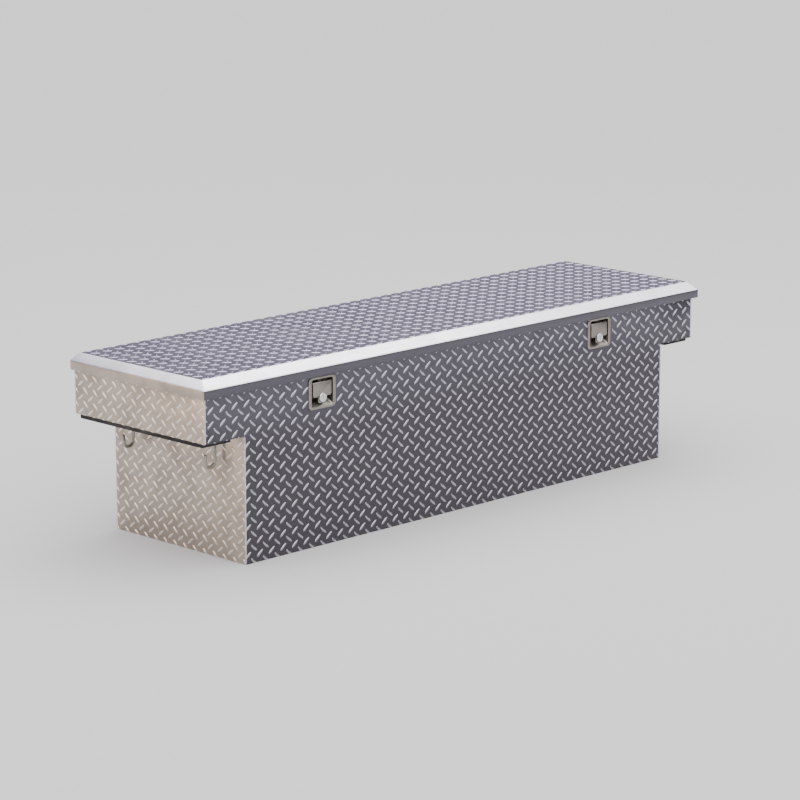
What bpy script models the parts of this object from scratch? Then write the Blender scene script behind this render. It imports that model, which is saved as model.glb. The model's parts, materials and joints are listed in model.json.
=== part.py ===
"""Crossover tool box for a pickup bed: a tread-plate aluminium chest with one full-width lid.

The wings rest on the bed rails and the tub hangs between them. Two paddle latches are on the
tailgate side, and a piano hinge and two gas struts are on the cab side.

Frame: +X along the box, -Y the latch side, +Y the hinge side, +Z up, in metres. The origin is
under the middle of the tub, in the plane of its underside.
"""
import math

import bmesh
import bpy
from mathutils import Vector

# gaps and sheet metal
GAP = 0.0003
SHEET = 0.002
THIN_SHEET = 0.0015

# lid
LID_HALF = 0.900
LID_FRONT = -0.252
LID_BACK = 0.2415
LID_TOP = 0.470
BEVEL_LOW = 0.450
LIP_LOW = 0.428
BEVEL_AT_FRONT = 0.029
BEVEL_AT_END = 0.019
BEVEL_AT_BACK = 0.020
LINER_LOW = 0.4575

# body
BODY_HALF = 0.885
BODY_FRONT = -0.237
BODY_BACK = 0.2385
BODY_TOP = 0.444
RAIL_PLANE = 0.316
TUB_HALF = 0.760
FLANGE = 0.028
SEAL_INSET = 0.0215
SEAL_WIDTH = 0.009
INNER_FRONT = BODY_FRONT + SHEET + GAP
INNER_BACK = BODY_BACK - SHEET - GAP

# hinge
HINGE_Y = 0.2475
HINGE_Z = 0.4225
KNUCKLE_RADIUS = 0.0045
HINGE_PIN_RADIUS = 0.002
HINGE_HALF = 0.875
KNUCKLES = 28

# latches, placed at plus and minus LATCH_X
LATCH_X = 0.506
DISH_HALF = 0.0355
DISH_LOW = 0.349
DISH_HIGH = 0.418
DISH_DEEP = -0.2145
PADDLE_Y = -0.2335
PADDLE_Z = 0.407
LOCK_Z = 0.3715
LOCK_RADIUS = 0.0094
STRIKER_Y = -0.186
STRIKER_Z = 0.404
STRIKER_RADIUS = 0.004
CLAW_Y = -0.166
CLAW_Z = 0.394
PAWL_Y = -0.198
PAWL_Z = 0.370
MECHANISM_HALF = 0.0025
PIVOT_RADIUS = 0.003

# tray and its ledges
LEDGE_TOP = 0.255
TRAY_LEFT = -0.745
TRAY_LENGTH = 0.600
TRAY_HEIGHT = 0.070

# rail clamps, pads and drain plugs
HOOK_X = 0.778
HOOK_Y = 0.150
HOOK_RADIUS = 0.004
PAD_THICKNESS = 0.0097
DRAIN_X = 0.600
DRAIN_RADIUS = 0.010

# gas struts: body ball, lid ball with the lid shut, and the plane that both move in
STRUT_X = 0.8435
STRUT_BODY_Y = -0.185
STRUT_BODY_Z = 0.350
STRUT_LID_Y = 0.1725
STRUT_LID_Z = 0.4265
STRUT_TUBE_RADIUS = 0.009
STRUT_ROD_RADIUS = 0.004
BALL_RADIUS = 0.006

ROUND = 24


# ---------------------------------------------------------------- outlines

def rounded(a0, a1, b0, b1, radius=0.0, steps=3):
    """Outline of a rectangle, anticlockwise, with its corners as arcs."""
    if radius <= 0:
        return [(a0, b0), (a1, b0), (a1, b1), (a0, b1)]
    corners = [
        (a1 - radius, b0 + radius, -90),
        (a1 - radius, b1 - radius, 0),
        (a0 + radius, b1 - radius, 90),
        (a0 + radius, b0 + radius, 180),
    ]
    points = []
    for a, b, start in corners:
        points += arc(a, b, radius, start, start + 90, steps)
    return points


def arc(a, b, radius, start, end, steps):
    """Points on a circle from one angle in degrees to another."""
    points = []
    for i in range(steps + 1):
        angle = math.radians(start + (end - start) * i / steps)
        points.append((a + radius * math.cos(angle), b + radius * math.sin(angle)))
    return points


def circle(a, b, radius, steps=ROUND):
    return arc(a, b, radius, 0, 360, steps)[:-1]


def hexagon(a, b, across, steps=ROUND):
    """A hexagon with as many points as a circle, so that a round bore can be bridged to it."""
    points = []
    for i in range(steps):
        angle = 2 * math.pi * i / steps
        from_flat = (angle + math.pi / 6) % (math.pi / 3) - math.pi / 6
        radius = across / 2 / math.cos(from_flat)
        points.append((a + radius * math.cos(angle), b + radius * math.sin(angle)))
    return points


def sheet_outline(path, thickness):
    """Outline of folded sheet: the path, and the path offset to its left with mitred folds."""
    path = [Vector(p) for p in path]
    offset = []
    for i, point in enumerate(path):
        normals = []
        if i > 0:
            along = (point - path[i - 1]).normalized()
            normals.append(Vector((-along.y, along.x)))
        if i < len(path) - 1:
            along = (path[i + 1] - point).normalized()
            normals.append(Vector((-along.y, along.x)))
        middle = sum(normals, Vector((0, 0))).normalized()
        offset.append(point + middle * thickness / middle.dot(normals[0]))
    return [tuple(p) for p in path] + [tuple(p) for p in reversed(offset)]


def on_x(outline, x):
    return [(x, a, b) for a, b in outline]


def on_y(outline, y):
    return [(a, y, b) for a, b in outline]


def on_z(outline, z):
    return [(a, b, z) for a, b in outline]


# ---------------------------------------------------------------- solids

def clear_scene():
    for thing in list(bpy.data.objects):
        bpy.data.objects.remove(thing, do_unlink=True)


def material(name, colour, roughness, metallic):
    made = bpy.data.materials.new(name)
    made.use_nodes = True
    shader = made.node_tree.nodes["Principled BSDF"]
    shader.inputs["Base Color"].default_value = (*colour, 1.0)
    shader.inputs["Roughness"].default_value = roughness
    shader.inputs["Metallic"].default_value = metallic
    return made


def pivot(name, x, y, z):
    """An empty on a joint's axis, which its moving pieces are parented to."""
    empty = bpy.data.objects.new(name, None)
    empty.location = (x, y, z)
    bpy.context.collection.objects.link(empty)
    return empty


def solid(name, loops, finish=None, frame=None, ring=False, smooth=False):
    """A closed solid that bridges equal loops in order, capped at both ends or joined into a ring."""
    shift = frame.location if frame else Vector((0, 0, 0))
    bm = bmesh.new()
    rows = []
    for loop in loops:
        rows.append([bm.verts.new(Vector(p) - shift) for p in loop])
    count = len(rows[0])
    pairs = list(zip(rows, rows[1:]))
    if ring:
        pairs.append((rows[-1], rows[0]))
    else:
        bm.faces.new(rows[0])
        bm.faces.new(rows[-1])
    for low, high in pairs:
        for i in range(count):
            j = (i + 1) % count
            bm.faces.new((low[i], low[j], high[j], high[i]))
    bmesh.ops.recalc_face_normals(bm, faces=bm.faces)
    mesh = bpy.data.meshes.new(name)
    bm.to_mesh(mesh)
    bm.free()
    if smooth:
        mesh.shade_smooth()
        mesh.set_sharp_from_angle(angle=math.radians(35))
    made = bpy.data.objects.new(name, mesh)
    bpy.context.collection.objects.link(made)
    if frame:
        made.parent = frame
    if finish:
        mesh.materials.append(finish)
    return made


def box(name, low, high, finish=None, frame=None):
    outline = rounded(low[0], high[0], low[1], high[1])
    return solid(name, [on_z(outline, low[2]), on_z(outline, high[2])], finish, frame)


def turned(name, profile, place, finish=None, frame=None, steps=ROUND):
    """A solid of revolution: profile holds (radius, distance), and place maps circle to world."""
    loops = []
    for radius, distance in profile:
        loops.append([place(a, b, distance) for a, b in circle(0, 0, radius, steps)])
    return solid(name, loops, finish, frame, smooth=True)


def along_x(y, z):
    return lambda a, b, d: (d, y + a, z + b)


def along_y(x, z):
    return lambda a, b, d: (x + a, d, z + b)


def along_z(x, y):
    return lambda a, b, d: (x + a, y + b, d)


def rod(name, radius, low, high, place, finish=None, frame=None, steps=ROUND):
    return turned(name, [(radius, low), (radius, high)], place, finish, frame, steps)


def tube_along(name, path, radius, finish, steps=12):
    """A round bar bent along a path that lies in a plane of constant y."""
    loops = []
    for i, point in enumerate(path):
        before = Vector(path[max(i - 1, 0)])
        after = Vector(path[min(i + 1, len(path) - 1)])
        along = (after - before).normalized()
        side = Vector((0, 1, 0)).cross(along)
        loop = []
        for a, b in circle(0, 0, radius, steps):
            loop.append(Vector(point) + side * a + Vector((0, 1, 0)) * b)
        loops.append(loop)
    return solid(name, loops, finish, smooth=True)


def combine(target, tool, operation):
    """Join or cut with another solid, which stays in the scene as a hidden guide."""
    tool.hide_render = True
    tool.display_type = "WIRE"
    change = target.modifiers.new(tool.name, "BOOLEAN")
    change.operation = operation
    change.solver = "EXACT"
    change.object = tool


def join(target, *tools):
    for tool in tools:
        combine(target, tool, "UNION")


def cut(target, *tools):
    for tool in tools:
        combine(target, tool, "DIFFERENCE")


# ---------------------------------------------------------------- body

def wall_outline():
    """Front or back wall: as wide as the wings above the rails, as wide as the tub below."""
    return [
        (-TUB_HALF, 0.0),
        (TUB_HALF, 0.0),
        (TUB_HALF, RAIL_PLANE),
        (BODY_HALF, RAIL_PLANE),
        (BODY_HALF, BODY_TOP),
        (-BODY_HALF, BODY_TOP),
        (-BODY_HALF, RAIL_PLANE),
        (-TUB_HALF, RAIL_PLANE),
    ]


def body_wall(name, outer, inward, finish):
    """A wall of folded sheet with a flange along its top that carries the seal."""
    inner = outer + inward * SHEET
    wall = solid(name, [on_y(wall_outline(), outer), on_y(wall_outline(), inner)], finish)
    flange_half = BODY_HALF - FLANGE - GAP
    edges = sorted((outer + inward * SHEET / 2, outer + inward * FLANGE))
    low = (-flange_half, edges[0], BODY_TOP - SHEET)
    high = (flange_half, edges[1], BODY_TOP)
    join(wall, box(name + "_flange_guide", low, high))
    return wall


def body_front(finish):
    wall = body_wall("body_front", BODY_FRONT, 1, finish)
    margin = 0.001
    for side in (-1, 1):
        centre = side * LATCH_X
        half = DISH_HALF + THIN_SHEET + margin
        low = (centre - half, BODY_FRONT - 0.01, DISH_LOW - THIN_SHEET - margin)
        high = (centre + half, BODY_FRONT + 0.01, DISH_HIGH + THIN_SHEET + margin)
        cut(wall, box(f"latch_hole_guide_{side}", low, high))


def body_end(name, side, finish):
    """Tub end, wing floor, wing end and seal flange, folded from one sheet."""
    path = [
        (TUB_HALF, 0.0),
        (TUB_HALF, RAIL_PLANE),
        (BODY_HALF, RAIL_PLANE),
        (BODY_HALF, BODY_TOP),
        (BODY_HALF - FLANGE, BODY_TOP),
    ]
    outline = [(side * a, b) for a, b in sheet_outline(path, SHEET)]
    end = solid(name, [on_y(outline, INNER_FRONT), on_y(outline, INNER_BACK)], finish)
    for y in (-HOOK_Y, HOOK_Y):
        place = along_z(side * HOOK_X, y)
        hole = rod(f"{name}_hook_hole_guide", 0.005, RAIL_PLANE - 0.01, RAIL_PLANE + 0.01, place)
        cut(end, hole)


def body_floor(finish):
    half = TUB_HALF - SHEET - GAP
    floor = box("body_floor", (-half, INNER_FRONT, 0.0), (half, INNER_BACK, SHEET), finish)
    for side in (-1, 1):
        place = along_z(side * DRAIN_X, 0.0)
        cut(floor, rod(f"drain_hole_guide_{side}", DRAIN_RADIUS, -0.01, 0.01, place))


def body_seal(finish):
    """Bulb weatherstrip on the top flanges: one closed ring."""
    half = SEAL_WIDTH / 2
    bottom = BODY_TOP + GAP
    top = LINER_LOW - GAP
    rings = []
    for offset, z in ((half, bottom), (half, top), (-half, top), (-half, bottom)):
        reach = SEAL_INSET - offset
        outline = rounded(
            -BODY_HALF + reach, BODY_HALF - reach,
            BODY_FRONT + reach, BODY_BACK - reach,
            0.012 + offset, 4,
        )
        rings.append(on_z(outline, z))
    solid("body_seal", rings, finish, ring=True)


def drain_plug(name, side, finish):
    head = SHEET + GAP
    profile = [
        (DRAIN_RADIUS - GAP, GAP),
        (DRAIN_RADIUS - GAP, head),
        (DRAIN_RADIUS + 0.004, head),
        (DRAIN_RADIUS + 0.003, head + 0.0025),
    ]
    turned(name, profile, along_z(side * DRAIN_X, 0.0), finish)


def rail_pad(name, side, finish):
    low_x, high_x = sorted((side * 0.790, side * 0.884))
    top = RAIL_PLANE - GAP
    outline = rounded(low_x, high_x, -0.225, 0.225, 0.006)
    solid(name, [on_z(outline, top - PAD_THICKNESS), on_z(outline, top)], finish)


def mount_hook(name, side, y, finish):
    """J-bolt that reaches under the bed rail: threaded leg, bend, short leg turned up."""
    bend = 0.013
    low = 0.232
    path = [(side * HOOK_X, y, 0.352)]
    for a, b in arc(HOOK_X + bend, low + bend, bend, 180, 270, 5):
        path.append((side * a, y, b))
    for a, b in arc(HOOK_X + bend + 0.004, low + bend, bend, 270, 360, 5):
        path.append((side * a, y, b))
    path.append((side * (HOOK_X + 2 * bend + 0.004), y, 0.264))
    tube_along(name, path, HOOK_RADIUS, finish)


def mount_nut(name, side, y, finish):
    """Flanged hexagon nut above the wing floor."""
    x = side * HOOK_X
    bottom = RAIL_PLANE + SHEET + GAP
    bore = circle(x, y, HOOK_RADIUS + GAP)
    loops = [
        on_z(bore, bottom),
        on_z(circle(x, y, 0.0088), bottom),
        on_z(circle(x, y, 0.0088), bottom + 0.0014),
        on_z(hexagon(x, y, 0.013), bottom + 0.0022),
        on_z(hexagon(x, y, 0.013), bottom + 0.0080),
        on_z(bore, bottom + 0.0080),
    ]
    solid(name, loops, finish, ring=True)


# ---------------------------------------------------------------- hinge

def knuckle_guides(name, offset, low, high, frame):
    """Boxes over every other knuckle, which cut one leaf's barrel away to make room for the other's."""
    width = 2 * HINGE_HALF / KNUCKLES
    guides = []
    for i in range(offset, KNUCKLES, 2):
        x = -HINGE_HALF + i * width
        first = x - (0.01 if i == 0 else GAP / 2)
        last = x + width + (0.01 if i == KNUCKLES - 1 else GAP / 2)
        corners = ((first, 0.2405, low), (last, 0.2530, high))
        guides.append(box(f"{name}_{i}", *corners, frame=frame))
    return guides


def hinge_leaf_body(finish):
    low = 0.385
    inner = BODY_BACK + GAP
    outer = inner + THIN_SHEET
    outline = [(inner, low), (outer, low), (outer, 0.4130)]
    outline += arc(HINGE_Y, HINGE_Z, KNUCKLE_RADIUS, -75, 200, 14)
    outline.append((inner, 0.4165))
    ends = [on_x(outline, -HINGE_HALF), on_x(outline, HINGE_HALF)]
    leaf = solid("hinge_leaf_body", ends, finish, smooth=True)
    cut(leaf, hinge_bore("hinge_bore_body_guide", None))
    cut(leaf, *knuckle_guides("gap_body_guide", 0, 0.4100, 0.4300, None))


def hinge_leaf_lid(finish, frame):
    inner = LID_BACK + GAP
    outer = inner + THIN_SHEET
    outline = [(outer, 0.447), (inner, 0.447), (inner, 0.4240)]
    outline += arc(HINGE_Y, HINGE_Z, KNUCKLE_RADIUS, 185, 510, 16)
    outline.append((outer, 0.4285))
    ends = [on_x(outline, -HINGE_HALF), on_x(outline, HINGE_HALF)]
    leaf = solid("hinge_leaf_lid", ends, finish, frame, smooth=True)
    cut(leaf, hinge_bore("hinge_bore_lid_guide", frame))
    cut(leaf, *knuckle_guides("gap_lid_guide", 1, 0.4160, 0.4282, frame))


def hinge_bore(name, frame):
    reach = HINGE_HALF + 0.01
    place = along_x(HINGE_Y, HINGE_Z)
    return rod(name, HINGE_PIN_RADIUS + GAP, -reach, reach, place, frame=frame, steps=12)


def hinge_pin(finish):
    place = along_x(HINGE_Y, HINGE_Z)
    rod("hinge_pin", HINGE_PIN_RADIUS, -HINGE_HALF, HINGE_HALF, place, finish, steps=12)


# ---------------------------------------------------------------- lid

def lid_skin(finish, frame):
    """Folded lid: flat top, bevelled rim and upright lip, with the same steps inside."""
    corner = 0.004
    inner_corner = 0.002

    def ring(inset_x, inset_front, inset_back, z, radius):
        outline = rounded(
            -LID_HALF + inset_x, LID_HALF - inset_x,
            LID_FRONT + inset_front, LID_BACK - inset_back,
            radius,
        )
        return on_z(outline, z)

    inner_bevel = 0.0008
    loops = [
        ring(BEVEL_AT_END, BEVEL_AT_FRONT, BEVEL_AT_BACK, LID_TOP, corner),
        ring(0, 0, 0, BEVEL_LOW, corner),
        ring(0, 0, 0, LIP_LOW, corner),
        ring(SHEET, SHEET, SHEET, LIP_LOW, inner_corner),
        ring(SHEET, SHEET, SHEET, BEVEL_LOW - SHEET / 2, inner_corner),
        ring(
            BEVEL_AT_END + inner_bevel, BEVEL_AT_FRONT + inner_bevel, BEVEL_AT_BACK + inner_bevel,
            LID_TOP - SHEET, inner_corner,
        ),
    ]
    solid("lid_skin", loops, finish, frame)


def lid_liner(finish, frame):
    """Inner pan that closes the lid's underside and that the seal presses on."""
    foot = (-0.872, 0.872, -0.2255, 0.2245)
    rim = (-0.868, 0.868, -0.2215, 0.2195)
    rim_top = LID_TOP - SHEET - 0.0008

    def shrink(edges, amount):
        return edges[0] + amount, edges[1] - amount, edges[2] + amount, edges[3] - amount

    loops = [
        on_z(rounded(*foot, 0.004), LINER_LOW),
        on_z(rounded(*rim, 0.004), rim_top),
        on_z(rounded(*shrink(rim, THIN_SHEET), 0.004), rim_top),
        on_z(rounded(*shrink(foot, THIN_SHEET * 1.3), 0.004), LINER_LOW + THIN_SHEET),
    ]
    solid("lid_liner", loops, finish, frame)


def lid_stiffener(name, y, finish, frame):
    """Hat-section channel along the underside of the liner."""
    top = LINER_LOW - GAP
    depth = 0.012
    path = [
        (y + 0.030, top),
        (y + 0.017, top),
        (y + 0.012, top - depth),
        (y - 0.012, top - depth),
        (y - 0.017, top),
        (y - 0.030, top),
    ]
    outline = sheet_outline(path, 0.0012)
    solid(name, [on_x(outline, -0.800), on_x(outline, 0.800)], finish, frame)


# ---------------------------------------------------------------- latches

def latch_dish(name, centre, finish):
    """Recessed pan with a flange: flat sides, and a lower wall that slopes in to the floor."""
    face = BODY_FRONT - GAP
    front = face - THIN_SHEET
    corner = 0.006
    floor_low = DISH_LOW + 0.017

    def ring(half, low, high, y, radius=corner):
        return on_y(rounded(centre - half, centre + half, low, high, radius), y)

    wall = THIN_SHEET
    loops = [
        ring(DISH_HALF + wall, floor_low - wall, DISH_HIGH + wall, DISH_DEEP + wall),
        ring(DISH_HALF + wall, DISH_LOW - wall, DISH_HIGH + wall, face),
        ring(0.0455, 0.3435, 0.4240, face, 0.010),
        ring(0.0450, 0.3440, 0.4235, front, 0.010),
        ring(DISH_HALF, DISH_LOW, DISH_HIGH, front),
        ring(DISH_HALF, floor_low, DISH_HIGH, DISH_DEEP),
    ]
    dish = solid(name, loops, finish)
    low = (centre - 0.0065, DISH_DEEP - 0.004, 0.3860)
    high = (centre + 0.0065, DISH_DEEP + 0.006, 0.4125)
    cut(dish, box(name + "_window_guide", low, high))
    reach = DISH_HALF + 0.004
    place = along_x(PADDLE_Y, PADDLE_Z)
    cut(dish, rod(name + "_pin_hole_guide", 0.0028, centre - reach, centre + reach, place))


def latch_pin(name, centre, finish):
    half = DISH_HALF + THIN_SHEET - GAP
    place = along_x(PADDLE_Y, PADDLE_Z)
    rod(name, 0.0025, centre - half, centre + half, place, finish)


def latch_paddle(name, centre, finish, frame):
    """Pull plate with a tongue for the lock, a rolled barrel on the pin and an arm behind."""
    front = PADDLE_Y - 0.005
    back = front + SHEET
    half = 0.031
    tongue = 0.014
    shoulder = 0.374
    bottom = 0.3585
    outline = [
        (centre - half, PADDLE_Z), (centre - half, shoulder + 0.004),
        (centre - half + 0.004, shoulder), (centre - tongue - 0.003, shoulder),
        (centre - tongue, shoulder - 0.003), (centre - tongue, bottom + 0.004),
        (centre - tongue + 0.004, bottom), (centre + tongue - 0.004, bottom),
        (centre + tongue, bottom + 0.004), (centre + tongue, shoulder - 0.003),
        (centre + tongue + 0.003, shoulder), (centre + half - 0.004, shoulder),
        (centre + half, shoulder + 0.004), (centre + half, PADDLE_Z),
    ]
    paddle = solid(name, [on_y(outline, front), on_y(outline, back)], finish, frame)
    place = along_x(PADDLE_Y, PADDLE_Z)
    barrel = rod(name + "_barrel_guide", 0.0042, centre - half, centre + half, place, frame=frame)
    low = (centre - 0.004, PADDLE_Y, PADDLE_Z - 0.0025)
    high = (centre + 0.004, PADDLE_Y + 0.0245, PADDLE_Z + 0.0025)
    arm = box(name + "_arm_guide", low, high, frame=frame)
    join(paddle, barrel, arm)
    reach = half + 0.005
    bore = rod(name + "_bore_guide", 0.0028, centre - reach, centre + reach, place, frame=frame)
    lock_place = along_y(centre, LOCK_Z)
    hole_radius = LOCK_RADIUS + GAP
    hole = rod(name + "_lock_guide", hole_radius, front - 0.005, back + 0.005, lock_place, frame=frame)
    cut(paddle, bore, hole)


def lock_cylinder(name, centre, finish, frame):
    """Key cylinder with a collar in front of the paddle and a key slot in its face."""
    plate = PADDLE_Y - 0.005 - GAP
    profile = [
        (0.0105, plate - 0.0037),
        (0.0115, plate - 0.0027),
        (0.0115, plate),
        (LOCK_RADIUS, plate),
        (LOCK_RADIUS, -0.2265),
    ]
    place = along_y(centre, LOCK_Z)
    lock = turned(name, profile, place, finish, frame)
    low = (centre - 0.0009, plate - 0.006, LOCK_Z - 0.0045)
    high = (centre + 0.0009, plate - 0.0010, LOCK_Z + 0.0045)
    cut(lock, box(name + "_slot_guide", low, high, frame=frame))


def latch_housing(name, centre, finish):
    """Channel behind the dish that carries the claw and the pawl, notched for the striker."""
    front = DISH_DEEP + THIN_SHEET + GAP
    back = -0.146
    notch = STRIKER_RADIUS + 0.0015
    outline = [
        (front, 0.352), (back, 0.352), (back, 0.420), (back - 0.010, 0.430),
        (STRIKER_Y + notch, 0.430), (STRIKER_Y + notch, 0.398),
        (STRIKER_Y - notch, 0.398), (STRIKER_Y - notch, 0.430), (front, 0.430),
    ]
    half = 0.010
    housing = solid(name, [on_x(outline, centre - half), on_x(outline, centre + half)], finish)
    low = (centre - half + SHEET, front - 0.01, 0.340)
    high = (centre + half - SHEET, back - SHEET, 0.440)
    cut(housing, box(name + "_inside_guide", low, high))
    for y, z in ((CLAW_Y, CLAW_Z), (PAWL_Y, PAWL_Z)):
        ends = (centre - half - 0.002, centre + half + 0.002)
        cut(housing, rod(name + "_hole_guide", PIVOT_RADIUS + GAP, *ends, along_x(y, z)))


def latch_pivot(name, centre, y, z, finish):
    rod(name, PIVOT_RADIUS, centre - 0.0115, centre + 0.0115, along_x(y, z), finish)


def latch_claw(name, centre, finish, frame):
    """Forked hook: a finger over the striker, a jaw under it, and a round hub."""
    slot_low = STRIKER_Z - 0.0045
    slot_high = STRIKER_Z + 0.0045
    hub = 0.0125
    outline = [
        (CLAW_Y - 0.0145, slot_high),
        (CLAW_Y - 0.0300, slot_high),
        (CLAW_Y - 0.0290, slot_high + 0.006),
        (CLAW_Y - 0.0100, slot_high + 0.007),
    ]
    outline += arc(CLAW_Y, CLAW_Z, hub, 60, -130, 12)
    outline += [
        (CLAW_Y - 0.0250, slot_low - 0.0070),
        (CLAW_Y - 0.0260, slot_low),
        (CLAW_Y - 0.0145, slot_low),
    ]
    half = MECHANISM_HALF
    claw = solid(name, [on_x(outline, centre - half), on_x(outline, centre + half)], finish, frame)
    place = along_x(CLAW_Y, CLAW_Z)
    ends = (centre - 0.01, centre + 0.01)
    cut(claw, rod(name + "_bore_guide", PIVOT_RADIUS + GAP, *ends, place, frame=frame))


def latch_pawl(name, centre, finish, frame):
    """Trip lever: an arm up to the paddle, and a tooth that ends just off the claw's hub."""
    outline = [
        (PAWL_Y - 0.0040, PAWL_Z - 0.0045),
        (PAWL_Y + 0.0050, PAWL_Z - 0.0045),
        (PAWL_Y + 0.0230, PAWL_Z + 0.0100),
        (PAWL_Y + 0.0195, PAWL_Z + 0.0150),
        (PAWL_Y + 0.0030, PAWL_Z + 0.0075),
        (PAWL_Y - 0.0035, PAWL_Z + 0.0300),
        (PAWL_Y - 0.0095, PAWL_Z + 0.0290),
        (PAWL_Y - 0.0055, PAWL_Z + 0.0020),
    ]
    half = MECHANISM_HALF
    pawl = solid(name, [on_x(outline, centre - half), on_x(outline, centre + half)], finish, frame)
    place = along_x(PAWL_Y, PAWL_Z)
    ends = (centre - 0.01, centre + 0.01)
    cut(pawl, rod(name + "_bore_guide", PIVOT_RADIUS + GAP, *ends, place, frame=frame))


def striker(name, centre, finish, frame):
    """Round bar loop that hangs from a plate under the lid's liner."""
    top = LINER_LOW - GAP
    base = top - 0.0025
    low = (centre - 0.030, STRIKER_Y - 0.013, base)
    high = (centre + 0.030, STRIKER_Y + 0.013, top)
    plate = box(name, low, high, finish, frame)
    half = 0.016
    bend = 0.006
    path = [(centre - half, base + 0.001)]
    path += arc(centre - half + bend, STRIKER_Z + bend, bend, 180, 270, 3)
    path += arc(centre + half - bend, STRIKER_Z + bend, bend, 270, 360, 3)
    path.append((centre + half, base + 0.001))
    loops = []
    for i, (x, z) in enumerate(path):
        before = path[max(i - 1, 0)]
        after = path[min(i + 1, len(path) - 1)]
        along = Vector((after[0] - before[0], 0, after[1] - before[1])).normalized()
        side = Vector((0, 1, 0)).cross(along)
        loop = []
        for a, b in circle(0, 0, STRIKER_RADIUS, 12):
            loop.append(Vector((x, STRIKER_Y + b, z)) + side * a)
        loops.append(loop)
    join(plate, solid(name + "_loop_guide", loops, frame=frame))


# ---------------------------------------------------------------- tray

def tray_ledge(name, wall, inward, finish):
    """Angle along the tub wall that the tray slides on."""
    bottom = LEDGE_TOP - 0.025
    outline = [
        (wall, bottom), (wall + inward * THIN_SHEET, bottom),
        (wall + inward * THIN_SHEET, LEDGE_TOP - THIN_SHEET),
        (wall + inward * 0.025, LEDGE_TOP - THIN_SHEET),
        (wall + inward * 0.025, LEDGE_TOP), (wall, LEDGE_TOP),
    ]
    solid(name, [on_x(outline, -0.755), on_x(outline, 0.755)], finish)


def tray(finish, frame):
    """Moulded tray with sloping sides and a turned-out rim."""
    bottom = LEDGE_TOP + GAP
    top = bottom + TRAY_HEIGHT
    right = TRAY_LEFT + TRAY_LENGTH
    wall = 0.0028
    rim = (TRAY_LEFT, right, -0.2300, 0.2315)

    def ring(inset, z, radius):
        edges = (rim[0] + inset, rim[1] - inset, rim[2] + inset, rim[3] - inset)
        return on_z(rounded(*edges, radius), z)

    loops = [
        ring(0.0110, bottom, 0.010),
        ring(0.0075, top - wall, 0.012),
        ring(0.0, top - wall, 0.016),
        ring(0.0, top, 0.016),
        ring(0.0075 + wall, top, 0.010),
        ring(0.0110 + wall, bottom + wall, 0.008),
    ]
    solid("tray", loops, finish, frame)


# ---------------------------------------------------------------- gas struts

def strut_place(side):
    """Maps (across, sideways, along) of a strut to world, with the lid shut."""
    start = Vector((side * STRUT_X, STRUT_BODY_Y, STRUT_BODY_Z))
    end = Vector((side * STRUT_X, STRUT_LID_Y, STRUT_LID_Z))
    along = (end - start).normalized()
    across = Vector((1, 0, 0))
    sideways = along.cross(across)
    return lambda a, b, d: start + across * a + sideways * b + along * d


def strut_length():
    return math.hypot(STRUT_LID_Y - STRUT_BODY_Y, STRUT_LID_Z - STRUT_BODY_Z)


def strut_cylinder(name, side, finish, frame):
    """Painted pressure tube with an eye at its foot and a bore for the rod at its head."""
    top = 0.240
    profile = [
        (0.0055, 0.0075),
        (0.0055, 0.0130),
        (STRUT_TUBE_RADIUS, 0.0160),
        (STRUT_TUBE_RADIUS, top - 0.002),
        (STRUT_TUBE_RADIUS - 0.0015, top),
        (STRUT_ROD_RADIUS + GAP, top),
        (STRUT_ROD_RADIUS + GAP, 0.090),
    ]
    tube = turned(name, profile, strut_place(side), finish, frame)
    place = along_x(STRUT_BODY_Y, STRUT_BODY_Z)
    ends = (side * STRUT_X - 0.0065, side * STRUT_X + 0.0065)
    join(tube, rod(name + "_eye_guide", 0.0088, *ends, place, frame=frame))
    reach = (side * STRUT_X - 0.02, side * STRUT_X + 0.02)
    cut(tube, rod(name + "_bore_guide", BALL_RADIUS + 2 * GAP, *reach, place, frame=frame))


def strut_rod(name, side, finish, frame):
    """Chromed rod with a flat-faced end piece beside the lid's ball stud."""
    length = strut_length()
    profile = [
        (STRUT_ROD_RADIUS, 0.100),
        (STRUT_ROD_RADIUS, length - 0.013),
        (0.0052, length - 0.013),
        (0.0052, length - 0.002),
    ]
    bar = turned(name, profile, strut_place(side), finish, frame)
    place = along_x(STRUT_LID_Y, STRUT_LID_Z)
    ends = (side * STRUT_X - 0.0065, side * STRUT_X + 0.0065)
    join(bar, rod(name + "_end_guide", 0.0070, *ends, place, frame=frame))


def strut_bracket_body(name, side, finish):
    """Plate on the wing end with a ball stud that points into the box."""
    outer = BODY_HALF - SHEET - GAP
    inner = outer - 0.003
    low_x, high_x = sorted((side * inner, side * outer))
    outline = rounded(STRUT_BODY_Y - 0.022, STRUT_BODY_Y + 0.022, 0.330, 0.372, 0.005)
    plate = solid(name, [on_x(outline, low_x), on_x(outline, high_x)], finish)
    profile = [(0.004, inner + 0.001), (0.004, STRUT_X + BALL_RADIUS * 0.75)]
    for angle in range(-45, 91, 15):
        radius = BALL_RADIUS * math.cos(math.radians(angle))
        x = STRUT_X - BALL_RADIUS * math.sin(math.radians(angle))
        if radius > 0.0005:
            profile.append((radius, x))
    placed = [(radius, side * x) for radius, x in profile]
    stud = turned(name + "_stud_guide", placed, along_x(STRUT_BODY_Y, STRUT_BODY_Z), steps=16)
    join(plate, stud)


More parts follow.
